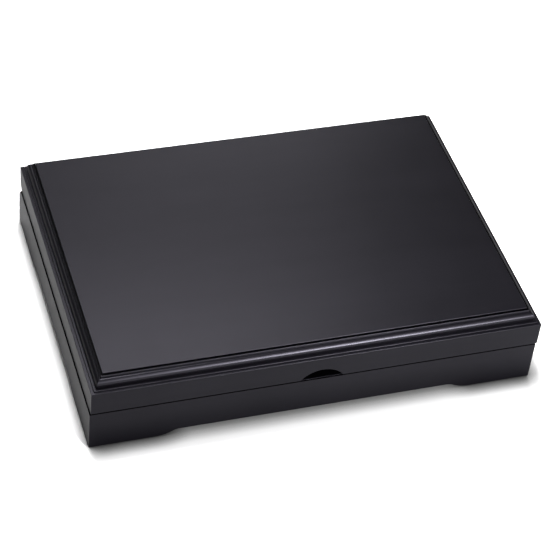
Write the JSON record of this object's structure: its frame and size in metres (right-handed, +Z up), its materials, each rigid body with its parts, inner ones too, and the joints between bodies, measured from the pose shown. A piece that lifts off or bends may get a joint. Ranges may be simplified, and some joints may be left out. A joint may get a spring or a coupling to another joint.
{
  "type": "coin display case",
  "caption": "Flat hinged wooden coin case in black satin lacquer, with a moulded lid, thumb notch, bracket feet and a lined tray of round coin wells.",
  "frame": {"origin": "on the table, under the middle of the case", "axes": "+X along the case to the right, +Y towards the hinged back, +Z up; the thumb notch is on the -Y front"},
  "size_m": [0.3057, 0.221, 0.0591],
  "materials": {
    "black_lacquer": "black satin lacquer, faintly grained",
    "raw_board": "black-stained fibreboard",
    "raw_wood": "sawn poplar, oiled",
    "felt": "black felt",
    "black_velvet": "black flocked velvet over board",
    "ribbon": "black grosgrain",
    "satin": "black satin over foam",
    "hinge_brass": "brushed brass",
    "magnet_nickel": "nickel plated magnet"
  },
  "bodies": {
    "base": {"base_front_rail": "black_lacquer", "base_back_rail": "black_lacquer", "base_left_rail": "black_lacquer", "base_right_rail": "black_lacquer", "bottom_panel": "raw_board", "corner_blocks": "raw_wood", "felt_pads": "felt", "liner_front": "black_velvet", "liner_back": "black_velvet", "liner_left": "black_velvet", "liner_right": "black_velvet", "cleat_front": "raw_wood", "cleat_back": "raw_wood", "cleat_left": "raw_wood", "cleat_right": "raw_wood", "tray_backing": "black_velvet", "tray_board": "black_velvet", "lift_ribbon_left": "ribbon", "lift_ribbon_right": "ribbon", "base_magnets": "magnet_nickel", "hinge_base_leaf_left": "hinge_brass", "hinge_base_leaf_right": "hinge_brass", "hinge_pin_left": "hinge_brass", "hinge_pin_right": "hinge_brass", "hinge_base_screws": "hinge_brass"},
    "lid": {"lid_front_rail": "black_lacquer", "lid_back_rail": "black_lacquer", "lid_left_rail": "black_lacquer", "lid_right_rail": "black_lacquer", "lid_top_panel": "black_lacquer", "lid_lining_board": "raw_board", "lid_cushion": "satin", "lid_magnets": "magnet_nickel", "hinge_lid_leaf_left": "hinge_brass", "hinge_lid_leaf_right": "hinge_brass", "hinge_lid_screws": "hinge_brass"}
  },
  "joints": [
    {"name": "lid_hinge", "type": "hinge", "parent": "base", "child": "lid", "pos_m": [0, 0.1057, 0.032], "axis": [-1, 0, 0], "range_deg": [0, 100]}
  ]
}
